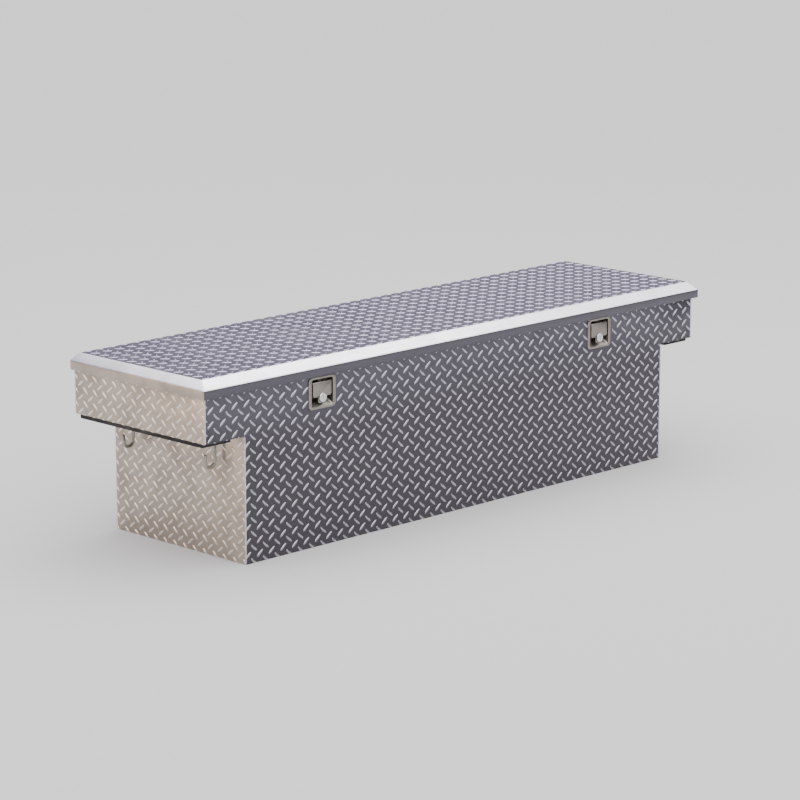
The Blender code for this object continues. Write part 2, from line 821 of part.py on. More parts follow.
def strut_bracket_lid(name, side, finish, frame):
    """Angle under the liner with a stud that ends just short of the rod's end piece."""
    top = LINER_LOW - GAP
    inner = 0.8535
    path = [(side * 0.815, top), (side * 0.856, top), (side * 0.856, STRUT_LID_Z - 0.010)]
    outline = sheet_outline(path, -side * 0.0025)
    low_y = STRUT_LID_Y - 0.016
    high_y = STRUT_LID_Y + 0.016
    bracket = solid(name, [on_y(outline, low_y), on_y(outline, high_y)], finish, frame)
    ends = sorted((side * (inner + 0.001), side * (STRUT_X + 0.0073)))
    join(bracket, rod(name + "_stud_guide", 0.004, *ends, along_x(STRUT_LID_Y, STRUT_LID_Z), frame=frame))


# ---------------------------------------------------------------- assembly

def build():
    clear_scene()
    bright = material("mill_finish_aluminium", (0.72, 0.72, 0.74), 0.32, 1.0)
    stainless = material("stainless_steel", (0.55, 0.54, 0.52), 0.30, 1.0)
    zinc = material("zinc_plated_steel", (0.62, 0.62, 0.60), 0.35, 1.0)
    chrome = material("chromed_steel", (0.80, 0.80, 0.82), 0.08, 1.0)
    black_paint = material("black_painted_steel", (0.02, 0.02, 0.02), 0.40, 0.0)
    rubber = material("epdm_rubber", (0.03, 0.03, 0.03), 0.75, 0.0)
    plastic = material("black_polyethylene", (0.04, 0.04, 0.045), 0.50, 0.0)

    body_front(bright)
    body_wall("body_back", BODY_BACK, -1, bright)
    body_floor(bright)
    body_seal(rubber)
    tray_ledge("tray_ledge_front", INNER_FRONT, 1, bright)
    tray_ledge("tray_ledge_back", INNER_BACK, -1, bright)
    tray(plastic, pivot("tray_frame", TRAY_LEFT, 0.0, LEDGE_TOP))

    lid_frame = pivot("lid_frame", 0.0, HINGE_Y, HINGE_Z)
    hinge_leaf_body(stainless)
    hinge_leaf_lid(stainless, lid_frame)
    hinge_pin(stainless)
    lid_skin(bright, lid_frame)
    lid_liner(bright, lid_frame)
    lid_stiffener("lid_stiffener_front", -0.100, bright, lid_frame)
    lid_stiffener("lid_stiffener_back", 0.100, bright, lid_frame)

    for word, side in (("left", -1), ("right", 1)):
        body_end(f"body_end_{word}", side, bright)
        rail_pad(f"rail_pad_{word}", side, rubber)
        drain_plug(f"drain_plug_{word}", side, rubber)
        for place, y in (("front", -HOOK_Y), ("back", HOOK_Y)):
            mount_hook(f"mount_hook_{word}_{place}", side, y, zinc)
            mount_nut(f"mount_nut_{word}_{place}", side, y, zinc)

        strut_bracket_body(f"strut_bracket_body_{word}", side, zinc)
        strut_bracket_lid(f"strut_bracket_lid_{word}", side, zinc, lid_frame)
        strut_frame = pivot(f"strut_frame_{word}", side * STRUT_X, STRUT_BODY_Y, STRUT_BODY_Z)
        strut_cylinder(f"strut_cylinder_{word}", side, black_paint, strut_frame)
        strut_rod(f"strut_rod_{word}", side, chrome, strut_frame)

        centre = side * LATCH_X
        latch_dish(f"latch_dish_{word}", centre, stainless)
        latch_pin(f"latch_pin_{word}", centre, stainless)
        latch_housing(f"latch_housing_{word}", centre, zinc)
        latch_pivot(f"claw_pivot_{word}", centre, CLAW_Y, CLAW_Z, zinc)
        latch_pivot(f"pawl_pivot_{word}", centre, PAWL_Y, PAWL_Z, zinc)
        paddle_frame = pivot(f"paddle_frame_{word}", centre, PADDLE_Y, PADDLE_Z)
        latch_paddle(f"latch_paddle_{word}", centre, stainless, paddle_frame)
        lock_frame = pivot(f"lock_frame_{word}", centre, PADDLE_Y, LOCK_Z)
        lock_cylinder(f"lock_cylinder_{word}", centre, chrome, lock_frame)
        claw_frame = pivot(f"claw_frame_{word}", centre, CLAW_Y, CLAW_Z)
        latch_claw(f"latch_claw_{word}", centre, zinc, claw_frame)
        pawl_frame = pivot(f"pawl_frame_{word}", centre, PAWL_Y, PAWL_Z)
        latch_pawl(f"latch_pawl_{word}", centre, zinc, pawl_frame)
        striker(f"striker_{word}", centre, stainless, lid_frame)


build()
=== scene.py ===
"""Looks of the crossover tool box: tread plate, folded lid, latches, seals, finishes and studio."""
import json
import math

import bmesh
import bpy
import numpy as np
from bpy.props import FloatProperty, FloatVectorProperty, PointerProperty
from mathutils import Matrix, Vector


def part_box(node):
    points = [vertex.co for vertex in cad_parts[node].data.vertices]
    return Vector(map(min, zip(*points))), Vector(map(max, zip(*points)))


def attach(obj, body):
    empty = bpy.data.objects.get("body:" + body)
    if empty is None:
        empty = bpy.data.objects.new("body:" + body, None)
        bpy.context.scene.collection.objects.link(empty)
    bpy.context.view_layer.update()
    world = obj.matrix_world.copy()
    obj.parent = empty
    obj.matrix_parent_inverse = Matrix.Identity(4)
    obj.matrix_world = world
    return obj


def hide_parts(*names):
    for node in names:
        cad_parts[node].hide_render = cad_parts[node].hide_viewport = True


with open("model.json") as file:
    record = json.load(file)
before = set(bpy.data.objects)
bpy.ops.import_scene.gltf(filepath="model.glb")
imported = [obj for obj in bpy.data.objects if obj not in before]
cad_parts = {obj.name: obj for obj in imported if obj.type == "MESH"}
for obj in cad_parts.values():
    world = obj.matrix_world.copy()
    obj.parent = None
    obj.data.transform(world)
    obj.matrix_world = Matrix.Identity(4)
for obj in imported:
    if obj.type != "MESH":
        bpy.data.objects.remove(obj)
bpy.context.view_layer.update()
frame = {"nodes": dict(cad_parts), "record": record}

bl_info = {
    "name": "Crossover Tool Box",
    "blender": (4, 5, 0),
    "version": (1, 0, 0),
    "location": "View3D > Sidebar > Tool Box",
    "description": "Builds the visible surfaces and finishes of a pickup crossover tool box",
    "category": "Object",
}

SIDES = (("left", -1), ("right", 1))


def linear(hex_colour):
    """sRGB hex text to a linear colour with alpha 1."""
    values = [int(hex_colour[i:i + 2], 16) / 255 for i in (1, 3, 5)]
    return tuple(v / 12.92 if v <= 0.04045 else ((v + 0.055) / 1.055) ** 2.4 for v in values) + (1.0,)


# ---------------------------------------------------------------- sizes and colours

def colour_property(name, description, hex_colour):
    return FloatVectorProperty(
        name=name, description=description, default=linear(hex_colour)[:3],
        subtype="COLOR", min=0.0, max=1.0, size=3,
    )


def length_property(name, description, default):
    return FloatProperty(
        name=name, description=description, default=default,
        min=0.0, unit="LENGTH", subtype="DISTANCE", precision=5,
    )


class ToolBoxSizes(bpy.types.PropertyGroup):
    pitch_along: length_property("Tread pitch along", "Spacing of like lugs along the box", 0.0383)
    pitch_across: length_property("Tread pitch across", "Spacing of like lugs across the box", 0.0340)
    lug_length: length_property("Lug length", "Length of one raised lug", 0.0262)
    lug_width: length_property("Lug width", "Width of one raised lug", 0.0066)
    lug_height: length_property("Lug height", "How far a lug stands above the sheet", 0.0013)
    fold_radius: length_property("Fold radius", "Outer radius of the folds round the lid", 0.0032)
    edge_break: length_property("Edge break", "Width of the broken edges on cut sheet", 0.0004)
    bead_radius: length_property("Weld bead radius", "Half the width of a corner weld", 0.0018)
    rivet_radius: length_property("Rivet radius", "Radius of a pop rivet's head", 0.0030)


class ToolBoxColours(bpy.types.PropertyGroup):
    lid_plate: colour_property("Lid plate", "Aluminium of the lid's flat top", "#8B8597")
    bevel_plate: colour_property("Bevel plate", "Aluminium of the lid's smooth rim", "#EAE8EE")
    lid_lug: colour_property("Lid lug", "Lugs of the lid's flat top", "#ADA7B9")
    front_lug: colour_property("Front lug", "Lugs of the latch side and the hinge side", "#BBB9C1")
    clean_plate: colour_property("Clean plate", "Aluminium inside the box, rivets and welds", "#D9D7DE")
    # Darker copy of the plate for the front, the back and the lid's lip over them: the darkness is painted
    # shade and painted reflection of a dark cover
    front_plate: colour_property("Front plate", "Oxidised aluminium of the upright sides", "#616068")
    end_plate: colour_property("End plate", "Aluminium of the ends", "#B8AC9F")
    end_lug: colour_property("End lug", "Lugs of the ends", "#F3EBE2")
    road_film: colour_property("Road film", "Dust and dried water on the metal", "#5A544E")
    # Colour of the dust on the latch side and of the painted shade low on that side, standing for the
    # reflection of a dark cover and its shadow
    spray_film: colour_property("Spray film", "Tyre spray low on the latch side", "#3D393B")
    stainless: colour_property("Stainless", "Latches and hinge", "#8F8A82")
    zinc: colour_property("Zinc plate", "Brackets, clamps and latch works", "#A9A89F")
    chrome: colour_property("Chrome", "Strut rods and key cylinders", "#D5D6DA")
    tube_paint: colour_property("Tube paint", "Gas strut tubes", "#17181A")
    rubber: colour_property("Rubber", "Seal, pads and plugs", "#1B1B1C")
    tray_plastic: colour_property("Tray plastic", "Moulded tray", "#222326")
    floor: colour_property("Floor", "Studio floor", "#B4B3B2")


def sizes():
    return bpy.context.scene.tool_box_sizes


def paint(name):
    return (*getattr(bpy.context.scene.tool_box_colours, name), 1.0)


# ---------------------------------------------------------------- surfaces

def grid_faces(rows, columns, wrap_rows=False, wrap_columns=False):
    """Quads of a grid of points, as an array of corner numbers."""
    i = np.arange(rows if wrap_rows else rows - 1)[:, None]
    j = np.arange(columns if wrap_columns else columns - 1)[None, :]
    i2 = (i + 1) % rows
    j2 = (j + 1) % columns
    corners = [i * columns + j, i * columns + j2, i2 * columns + j2, i2 * columns + j]
    return np.stack([np.broadcast_to(c, (i.size, j.size)) for c in corners], -1).reshape(-1, 4)


def new_piece(name, points, faces, finish, body, replaced=(), outward=False):
    """A mesh object from arrays, which rides on a CAD body."""
    mesh = bpy.data.meshes.new(name)
    mesh.from_pydata(np.asarray(points, float).reshape(-1, 3).tolist(), [], [list(f) for f in faces])
    if outward:
        bm = bmesh.new()
        bm.from_mesh(mesh)
        bmesh.ops.recalc_face_normals(bm, faces=bm.faces)
        bm.to_mesh(mesh)
        bm.free()
    mesh.shade_smooth()
    mesh.materials.append(finish)
    piece = bpy.data.objects.new(name, mesh)
    bpy.context.scene.collection.objects.link(piece)
    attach(piece, body)
    if replaced:
        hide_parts(*replaced)
    return piece


def closed_rings(loops, ring=False):
    """Points and faces of equal loops bridged in order, capped at both ends or joined round."""
    count = len(loops[0])
    faces = grid_faces(len(loops), count, wrap_rows=ring, wrap_columns=True).tolist()
    if not ring:
        faces.append(list(range(count))[::-1])
        faces.append(list(range((len(loops) - 1) * count, len(loops) * count)))
    return np.concatenate(loops), faces


def joined(shells):
    """Points and faces of several closed shells as one mesh."""
    points, faces, start = [], [], 0
    for some_points, some_faces in shells:
        points.append(some_points)
        faces += [[index + start for index in face] for face in some_faces]
        start += len(some_points)
    return np.concatenate(points), faces


def rounded_loop(x0, x1, y0, y1, radius, steps=6):
    """Rectangle with its corners as arcs, anticlockwise, as x and y arrays."""
    turn = np.linspace(0, math.pi / 2, steps + 1)
    centres = ((x1 - radius, y0 + radius, -1), (x1 - radius, y1 - radius, 0),
               (x0 + radius, y1 - radius, 1), (x0 + radius, y0 + radius, 2))
    xs = [cx + radius * np.cos(turn + quarter * math.pi / 2) for cx, cy, quarter in centres]
    ys = [cy + radius * np.sin(turn + quarter * math.pi / 2) for cx, cy, quarter in centres]
    return np.concatenate(xs), np.concatenate(ys)


def eased(points, radius, steps=5):
    """A polyline with each inner corner replaced by a parabola that starts and ends radius from it."""
    points = np.asarray(points, float)
    out = [points[0]]
    t = np.linspace(0, 1, steps + 1)[:, None]
    for before, corner, after in zip(points, points[1:], points[2:]):
        reach_in = min(radius, np.linalg.norm(before - corner) * 0.5)
        reach_out = min(radius, np.linalg.norm(after - corner) * 0.5)
        start = corner + (before - corner) / np.linalg.norm(before - corner) * reach_in
        end = corner + (after - corner) / np.linalg.norm(after - corner) * reach_out
        out.extend((1 - t) ** 2 * start + 2 * t * (1 - t) * corner + t ** 2 * end)
    out.append(points[-1])
    return np.array(out)


def carried(path, radius, sides, ripple, up):
    """Round profile carried along a path: each ring stands square to the path, and ripple scales
    its radius from point to point. up is a direction that the path never runs along."""
    path = np.asarray(path, float)
    along = np.gradient(path, axis=0)
    along /= np.linalg.norm(along, axis=1)[:, None]
    side = np.cross(along, np.asarray(up, float))
    side /= np.linalg.norm(side, axis=1)[:, None]
    other = np.cross(side, along)
    angle = np.linspace(0, 2 * math.pi, sides, endpoint=False)
    ring = side[:, None] * np.cos(angle)[None, :, None] + other[:, None] * np.sin(angle)[None, :, None]
    return list(path[:, None] + ring * (radius * ripple)[:, None, None])


def softened(node, width, finish, segments=2, angle=28):
    """A merged copy of a CAD node with its edges broken by a Bevel, in place of the node."""
    source = frame["nodes"][node]
    bm = bmesh.new()
    bm.from_mesh(source.data)
    bmesh.ops.remove_doubles(bm, verts=bm.verts, dist=0.00001)
    bmesh.ops.dissolve_limit(
        bm, angle_limit=math.radians(0.6), verts=bm.verts, edges=bm.edges, use_dissolve_boundaries=False,
    )
    mesh = bpy.data.meshes.new(node + "_finished")
    bm.to_mesh(mesh)
    bm.free()
    mesh.shade_smooth()
    mesh.materials.clear()
    mesh.materials.append(finish)
    piece = bpy.data.objects.new(node + "_finished", mesh)
    bpy.context.scene.collection.objects.link(piece)
    bevel = piece.modifiers.new("broken edges", "BEVEL")
    bevel.width = width
    bevel.segments = segments
    bevel.limit_method = "ANGLE"
    bevel.angle_limit = math.radians(angle)
    bevel.harden_normals = True
    bevel.use_clamp_overlap = True
    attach(piece, node_body(node))
    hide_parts(node)
    return piece


def lined(piece, finish, outward):
    """Gives the cleaner inner finish to the faces that don't look outwards."""
    piece.data.materials.append(finish)
    normals = np.empty(len(piece.data.polygons) * 3)
    piece.data.polygons.foreach_get("normal", normals)
    inner = normals.reshape(-1, 3) @ np.array(outward, float) < 0.5
    piece.data.polygons.foreach_set("material_index", inner.astype(np.int32))


def node_body(node):
    for body, nodes in frame["record"]["behaviour"]["bodies"].items():
        if node in nodes:
            return body
    raise ValueError(f"no body holds {node}")


# ---------------------------------------------------------------- materials

def add(tree, kind, values=None, **settings):
    """Adds a node. values maps a socket to a number or colour, or to an output to link from."""
    made = tree.nodes.new(kind)
    for name, value in settings.items():
        setattr(made, name, value)
    for name, value in (values or {}).items():
        if isinstance(value, bpy.types.NodeSocket):
            tree.links.new(value, made.inputs[name])
        else:
            made.inputs[name].default_value = value
    return made


def new_material(name):
    made = bpy.data.materials.new(name)
    made.use_nodes = True
    made.node_tree.nodes.clear()
    return made, made.node_tree


def finish_material(tree, shader):
    add(tree, "ShaderNodeOutputMaterial", {"Surface": shader.outputs[0]})


def ramp(tree, source, low, high, low_colour=(0, 0, 0, 1), high_colour=(1, 1, 1, 1)):
    """Colour ramp from low_colour at low to high_colour at high."""
    made = add(tree, "ShaderNodeValToRGB", {"Fac": source})
    made.color_ramp.elements[0].position = low
    made.color_ramp.elements[0].color = low_colour
    made.color_ramp.elements[1].position = high
    made.color_ramp.elements[1].color = high_colour
    return made.outputs["Color"]


def aluminium_plate(name, colour, grain_axis, base_roughness, film, shade_low=None, film_and_shade_colour="road_film"):
    """Rolled 5052 aluminium sheet, left in mill finish and weathered on a truck.

    Rolling leaves faint streaks along the sheet, about 0.6 mm apart, that stretch the gloss. Dried
    water and road dust dull it in clouds of about 60 mm. Given a low height, the colour darkens
    below it as painted shade, standing for the reflection of a dark cover and its shadow: thickest
    below that height, it thins out over the 85 mm above.
    """
    made, tree = new_material(name)
    place = add(tree, "ShaderNodeTexCoord").outputs["Object"]
    stretch = [700.0, 700.0, 700.0]
    stretch[grain_axis] = 9.0
    streaks = add(tree, "ShaderNodeMapping", {"Vector": place, "Scale": stretch})
    grain = add(tree, "ShaderNodeTexNoise", {"Vector": streaks.outputs[0], "Scale": 1.0, "Detail": 3.0})
    clouds = add(
        tree, "ShaderNodeTexNoise", {"Vector": place, "Scale": 16.0, "Detail": 6.0, "Roughness": 0.62},
    )
    spots = add(tree, "ShaderNodeTexVoronoi", {"Vector": place, "Scale": 75.0, "Randomness": 1.0})
    spot_mask = ramp(tree, spots.outputs["Distance"], 0.10, 0.17, (1, 1, 1, 1), (0, 0, 0, 1))
    sparse = add(tree, "ShaderNodeTexNoise", {"Vector": place, "Scale": 21.0, "Detail": 1.0})
    sparse_mask = ramp(tree, sparse.outputs["Fac"], 0.60, 0.68)
    drops = add(tree, "ShaderNodeMath", {0: spot_mask, 1: sparse_mask}, operation="MULTIPLY")

    dust = ramp(tree, clouds.outputs["Fac"], 0.42, 0.72)
    dust = add(tree, "ShaderNodeMath", {0: dust, 1: film}, operation="MULTIPLY").outputs[0]
    drop_dust = add(tree, "ShaderNodeMath", {0: drops.outputs[0], 1: 0.30}, operation="MULTIPLY").outputs[0]
    dust = add(tree, "ShaderNodeMath", {0: dust, 1: drop_dust}, operation="MAXIMUM").outputs[0]
    # Painted shade: darker towards the bottom, standing for a dark cover's reflection and its shadow; from
    # here on the dust mask carries it as well
    if shade_low is not None:
        height = add(tree, "ShaderNodeSeparateXYZ", {0: place}).outputs["Z"]
        ragged = add(
            tree, "ShaderNodeMath", {0: clouds.outputs["Fac"], 1: 0.05, 2: height}, operation="MULTIPLY_ADD",
        )
        rise = add(
            tree, "ShaderNodeMapRange",
            {"Value": ragged.outputs[0], "From Min": shade_low + 0.020, "From Max": shade_low + 0.105,
             "To Min": 0.70, "To Max": 0.0},
        )
        dust = add(tree, "ShaderNodeMath", {0: dust, 1: rise.outputs[0]}, operation="MAXIMUM").outputs[0]

    tint = add(
        tree, "ShaderNodeMix", {"Factor": clouds.outputs["Fac"], 6: colour,
                                7: tuple(c * 0.80 for c in colour[:3]) + (1.0,)}, data_type="RGBA",
    )
    # The film colour, mixed in by the dust and by the painted shade above it
    dirt_and_shade = add(
        tree, "ShaderNodeMix", {"Factor": dust, 6: tint.outputs[2], 7: paint(film_and_shade_colour)}, data_type="RGBA",
    )
    rough = add(
        tree, "ShaderNodeMapRange",
        {"Value": grain.outputs["Fac"], "From Min": 0.3, "From Max": 0.7,
         "To Min": base_roughness - 0.06, "To Max": base_roughness + 0.08},
    )
    rough_dust = add(
        tree, "ShaderNodeMath", {0: dust, 1: 0.45, 2: rough.outputs[0]}, operation="MULTIPLY_ADD",
    )
    metal = add(tree, "ShaderNodeMath", {0: dust, 1: -0.55, 2: 1.0}, operation="MULTIPLY_ADD")
    waves = add(tree, "ShaderNodeTexNoise", {"Vector": place, "Scale": 7.0, "Detail": 1.0})
    dents = add(
        tree, "ShaderNodeBump", {"Height": waves.outputs["Fac"], "Strength": 0.10, "Distance": 0.02},
    )
    scratch = add(
        tree, "ShaderNodeBump",
        {"Height": grain.outputs["Fac"], "Strength": 0.10, "Distance": 0.0006, "Normal": dents.outputs[0]},
    )
    shader = add(
        tree, "ShaderNodeBsdfPrincipled",
        {"Base Color": dirt_and_shade.outputs[2], "Metallic": metal.outputs[0], "Roughness": rough_dust.outputs[0],
         "Normal": scratch.outputs[0]},
    )
    finish_material(tree, shader)
    return made


def brushed_metal(name, colour, roughness, grain_axis=0, stretch=12.0, fine=900.0, bump=0.12, stain=0.10):
    """Drawn or brushed metal: lines about 0.5 mm apart along one axis, with faint handling stains."""
    made, tree = new_material(name)
    place = add(tree, "ShaderNodeTexCoord").outputs["Object"]
    scale = [fine, fine, fine]
    scale[grain_axis] = stretch
    streaks = add(tree, "ShaderNodeMapping", {"Vector": place, "Scale": scale})
    grain = add(tree, "ShaderNodeTexNoise", {"Vector": streaks.outputs[0], "Scale": 1.0, "Detail": 4.0})
    clouds = add(tree, "ShaderNodeTexNoise", {"Vector": place, "Scale": 60.0, "Detail": 4.0})
    stains = ramp(tree, clouds.outputs["Fac"], 0.40, 0.75)
    depth = add(tree, "ShaderNodeMath", {0: stains, 1: stain}, operation="MULTIPLY")
    shade = add(
        tree, "ShaderNodeMix",
        {"Factor": depth.outputs[0], 6: colour, 7: linear("#3A3733")}, data_type="RGBA",
    )
    rough = add(
        tree, "ShaderNodeMapRange",
        {"Value": grain.outputs["Fac"], "From Min": 0.3, "From Max": 0.7,
         "To Min": roughness - 0.05, "To Max": roughness + 0.08},
    )
    rough_sum = add(
        tree, "ShaderNodeMath", {0: depth.outputs[0], 1: 1.2, 2: rough.outputs[0]}, operation="MULTIPLY_ADD",
    )
    lines = add(
        tree, "ShaderNodeBump", {"Height": grain.outputs["Fac"], "Strength": bump, "Distance": 0.0005},
    )
    shader = add(
        tree, "ShaderNodeBsdfPrincipled",
        {"Base Color": shade.outputs[2], "Metallic": 1.0, "Roughness": rough_sum.outputs[0],
         "Normal": lines.outputs[0]},
    )
    finish_material(tree, shader)
    return made


def zinc_plate(name):
    """Bright zinc on pressed steel: crystals of about 4 mm that differ slightly in grey and gloss."""
    made, tree = new_material(name)
    place = add(tree, "ShaderNodeTexCoord").outputs["Object"]
    crystals = add(tree, "ShaderNodeTexVoronoi", {"Vector": place, "Scale": 260.0})
    clouds = add(tree, "ShaderNodeTexNoise", {"Vector": place, "Scale": 45.0, "Detail": 3.0})
    value = add(tree, "ShaderNodeSeparateColor", {0: crystals.outputs["Color"]}).outputs[0]
    shade = add(
        tree, "ShaderNodeMix",
        {"Factor": value, 6: paint("zinc"), 7: tuple(c * 0.72 for c in paint("zinc")[:3]) + (1.0,)},
        data_type="RGBA",
    )
    rough = add(
        tree, "ShaderNodeMapRange", {"Value": clouds.outputs["Fac"], "To Min": 0.26, "To Max": 0.52},
    )
    shader = add(
        tree, "ShaderNodeBsdfPrincipled",
        {"Base Color": shade.outputs[2], "Metallic": 1.0, "Roughness": rough.outputs[0]},
    )
    finish_material(tree, shader)
    return made


def chrome_plate(name):
    """Hard chrome on ground steel: near mirror, with a haze of fine polishing marks."""
    made, tree = new_material(name)
    place = add(tree, "ShaderNodeTexCoord").outputs["Object"]
    marks = add(tree, "ShaderNodeTexNoise", {"Vector": place, "Scale": 420.0, "Detail": 3.0})
    rough = add(
        tree, "ShaderNodeMapRange", {"Value": marks.outputs["Fac"], "To Min": 0.06, "To Max": 0.22},
    )
    shader = add(
        tree, "ShaderNodeBsdfPrincipled",
        {"Base Color": paint("chrome"), "Metallic": 1.0, "Roughness": rough.outputs[0]},
    )
    finish_material(tree, shader)
    return made


def soft_polymer(name, colour, roughness, grain, bump, chalk, specular):
    """Rubber, paint or moulded plastic: fine surface grain and a light chalky bloom in patches."""
    made, tree = new_material(name)
    place = add(tree, "ShaderNodeTexCoord").outputs["Object"]
    fine = add(tree, "ShaderNodeTexNoise", {"Vector": place, "Scale": grain, "Detail": 3.0})
    clouds = add(tree, "ShaderNodeTexNoise", {"Vector": place, "Scale": 18.0, "Detail": 6.0})
    bloom = ramp(tree, clouds.outputs["Fac"], 0.45, 0.80)
    depth = add(tree, "ShaderNodeMath", {0: bloom, 1: chalk}, operation="MULTIPLY")
    shade = add(
        tree, "ShaderNodeMix",
        {"Factor": depth.outputs[0], 6: colour, 7: linear("#8C8880")}, data_type="RGBA",
    )
    rough = add(
        tree, "ShaderNodeMapRange",
        {"Value": fine.outputs["Fac"], "To Min": roughness - 0.08, "To Max": roughness + 0.10},
    )
    pores = add(
        tree, "ShaderNodeBump", {"Height": fine.outputs["Fac"], "Strength": bump, "Distance": 0.0003},
    )
    shader = add(
        tree, "ShaderNodeBsdfPrincipled",
        {"Base Color": shade.outputs[2], "Roughness": rough.outputs[0], "Normal": pores.outputs[0],
         "Specular IOR Level": specular},
    )
    finish_material(tree, shader)
    return made


LOW_SHADE_HEIGHT = 0.296  # painted shade, standing for a dark cover's reflection and its shadow, lies thickest on the latch side below this height
FINISHES = {}


def finishes():
    """Makes each finish once."""
    if not FINISHES:
        FINISHES.update({
            "lid": aluminium_plate("mill_aluminium_lid", paint("lid_plate"), 0, 0.27, 0.22),
            "lug": aluminium_plate("rubbed_aluminium_lugs", paint("lid_lug"), 0, 0.24, 0.12),
            # Lip, front and back take the darker plate colour, which is painted shade; the front also
            # darkens towards the bottom as painted shade
            "lip": aluminium_plate("mill_aluminium_lip", paint("front_plate"), 0, 0.28, 0.22),
            "front": aluminium_plate(
                "mill_aluminium_front", paint("front_plate"), 0, 0.28, 0.26, LOW_SHADE_HEIGHT, "spray_film",
            ),
            "front_lug": aluminium_plate(
                "rubbed_aluminium_front_lugs", paint("front_lug"), 0, 0.22, 0.08,
            ),
            "back": aluminium_plate("mill_aluminium_back", paint("front_plate"), 0, 0.32, 0.30),
            "end": aluminium_plate("mill_aluminium_end", paint("end_plate"), 1, 0.32, 0.30),
            "end_lug": aluminium_plate("rubbed_aluminium_end_lugs", paint("end_lug"), 1, 0.24, 0.06),
            "bevel": aluminium_plate("rubbed_aluminium_rim", paint("bevel_plate"), 0, 0.30, 0.06),
            "inside": aluminium_plate("mill_aluminium_inside", paint("clean_plate"), 0, 0.38, 0.10),
            "weld": brushed_metal(
                "aluminium_weld_bead", paint("clean_plate"), 0.34, 2, 300.0, 500.0, 0.3, 0.3,
            ),
            "stainless": brushed_metal("brushed_stainless_steel", paint("stainless"), 0.28, 0),
            "hinge": brushed_metal("drawn_stainless_hinge", paint("stainless"), 0.30, 0, 20.0, 800.0),
            "rivet": brushed_metal(
                "aluminium_rivet", paint("clean_plate"), 0.30, 2, 400.0, 400.0, 0.05, 0.2,
            ),
            "zinc": zinc_plate("zinc_plated_steel"),
            "chrome": chrome_plate("hard_chrome"),
            "paint": soft_polymer("black_tube_paint", paint("tube_paint"), 0.34, 500.0, 0.08, 0.06, 0.5),
            "rubber": soft_polymer("epdm_rubber", paint("rubber"), 0.72, 800.0, 0.3, 0.16, 0.3),
            "plastic": soft_polymer(
                "moulded_polyethylene", paint("tray_plastic"), 0.52, 1100.0, 0.35, 0.08, 0.4,
            ),
        })
    return FINISHES


# ---------------------------------------------------------------- tread plate

EDGE_REACH = 0.006  # a lug's centre may lie this far outside its face and still show
LUG_SINK = 0.00015  # how far a lug's rim lies below the sheet's surface
EDGE_FADE = 0.002  # a cut lug's height falls to nothing over this distance from the face's edge
LUG_SLANTS = (40, -41)  # degrees from the direction along the sheet


def lug_template(columns=11, rows=6):
    """One lug on a grid: u runs along it from -1 to 1 and v across. Its half width falls from the
    middle as (1 - |u|^2.3)^0.72, and its height as (1 - |v|^2.6) times (1 - |u|^4.5), with the rim
    a little below the sheet."""
    u = np.linspace(-1, 1, columns)
    v = np.linspace(-1, 1, rows)
    u = np.sign(u) * np.abs(u) ** 0.85
    across = np.maximum((1 - np.abs(u) ** 2.3), 0.0) ** 0.72 + 0.05
    size = sizes()
    x = np.broadcast_to(u[:, None] * size.lug_length / 2, (columns, rows))
    y = v[None, :] * across[:, None] * size.lug_width / 2
    crown = (1 - np.abs(v) ** 2.6)[None, :] * (1 - np.abs(u) ** 4.5)[:, None]
    z = size.lug_height * crown - LUG_SINK
    return np.stack([x, y, z], -1).reshape(-1, 3), grid_faces(columns, rows)


def clearance(a, b, patch):
    """How far places lie inside a patch, or minus how far outside it. A patch is its low and high
    along the first direction, then its low and high along the second."""
    return np.minimum(
        np.minimum(a - patch[0], patch[1] - a), np.minimum(b - patch[2], patch[3] - b),
    )


